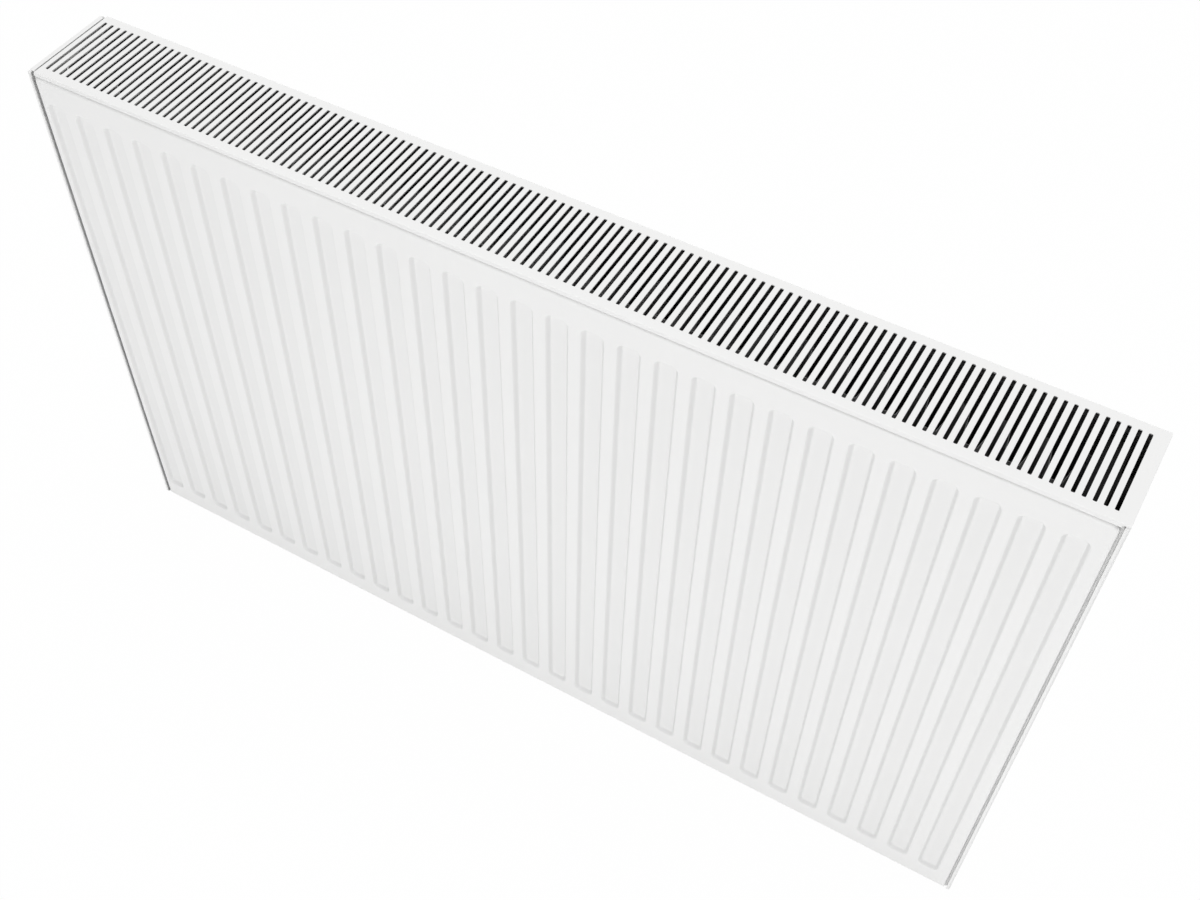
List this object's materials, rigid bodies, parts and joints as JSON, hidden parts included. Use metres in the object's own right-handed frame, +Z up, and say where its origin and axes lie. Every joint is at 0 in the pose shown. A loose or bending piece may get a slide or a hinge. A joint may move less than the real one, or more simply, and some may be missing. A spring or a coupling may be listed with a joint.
{
  "type": "panel radiator",
  "caption": "Double-panel, double-convector steel wall radiator with pressed vertical grooves, a slotted top grille, clip-on side covers and an air vent.",
  "frame": {"origin": "on the plane of the bottom seams, at the middle of the length and of the depth over the hanging lugs", "axes": "+X along the length, to the right seen from the room; +Y from the room to the wall; +Z up"},
  "size_m": [1, 0.1132, 0.6026],
  "materials": {
    "panel_paint": "white satin powder coat",
    "inner_primer": "dark grey dip primer",
    "casing_paint": "white satin powder coat",
    "nickel_plate": "nickel plated",
    "seal_rubber": "matte",
    "vent_plastic": "moulded",
    "screw_brass": "turned"
  },
  "bodies": {
    "radiator": {"front_outer_sheet": "panel_paint", "front_inner_sheet": "inner_primer", "rear_inner_sheet": "inner_primer", "rear_outer_sheet": "panel_paint", "front_convector": "inner_primer", "rear_convector": "inner_primer", "bottom_tees": "inner_primer", "top_tees": "inner_primer", "upper_left_hanging_lug": "panel_paint", "upper_right_hanging_lug": "panel_paint", "lower_left_hanging_lug": "panel_paint", "lower_right_hanging_lug": "panel_paint", "vent_plug": "nickel_plate", "blanking_plug": "nickel_plate", "plug_seals": "seal_rubber"},
    "grille": {"top_grille": "casing_paint"},
    "left_cover": {"left_side_cover": "casing_paint"},
    "right_cover": {"right_side_cover": "casing_paint"},
    "outlet_ring": {"vent_outlet_ring": "vent_plastic"},
    "screw": {"bleed_screw": "screw_brass"}
  },
  "joints": [
    {"name": "grille_lift", "type": "slide", "parent": "radiator", "child": "grille", "axis": [0, 0, 1], "range_m": [0, 0.04]},
    {"name": "left_cover_pull", "type": "slide", "parent": "radiator", "child": "left_cover", "axis": [-1, 0, 0], "range_m": [0, 0.04]},
    {"name": "right_cover_pull", "type": "slide", "parent": "radiator", "child": "right_cover", "axis": [1, 0, 0], "range_m": [0, 0.04]},
    {"name": "outlet_ring_turn", "type": "hinge", "parent": "radiator", "child": "outlet_ring", "pos_m": [-0.4943, -0.007, 0.5756], "axis": [-1, 0, 0], "continuous": true},
    {"name": "bleed_screw_turn", "type": "hinge", "parent": "radiator", "child": "screw", "pos_m": [-0.49, -0.007, 0.5756], "axis": [-1, 0, 0], "range_deg": [0, 540]}
  ]
}
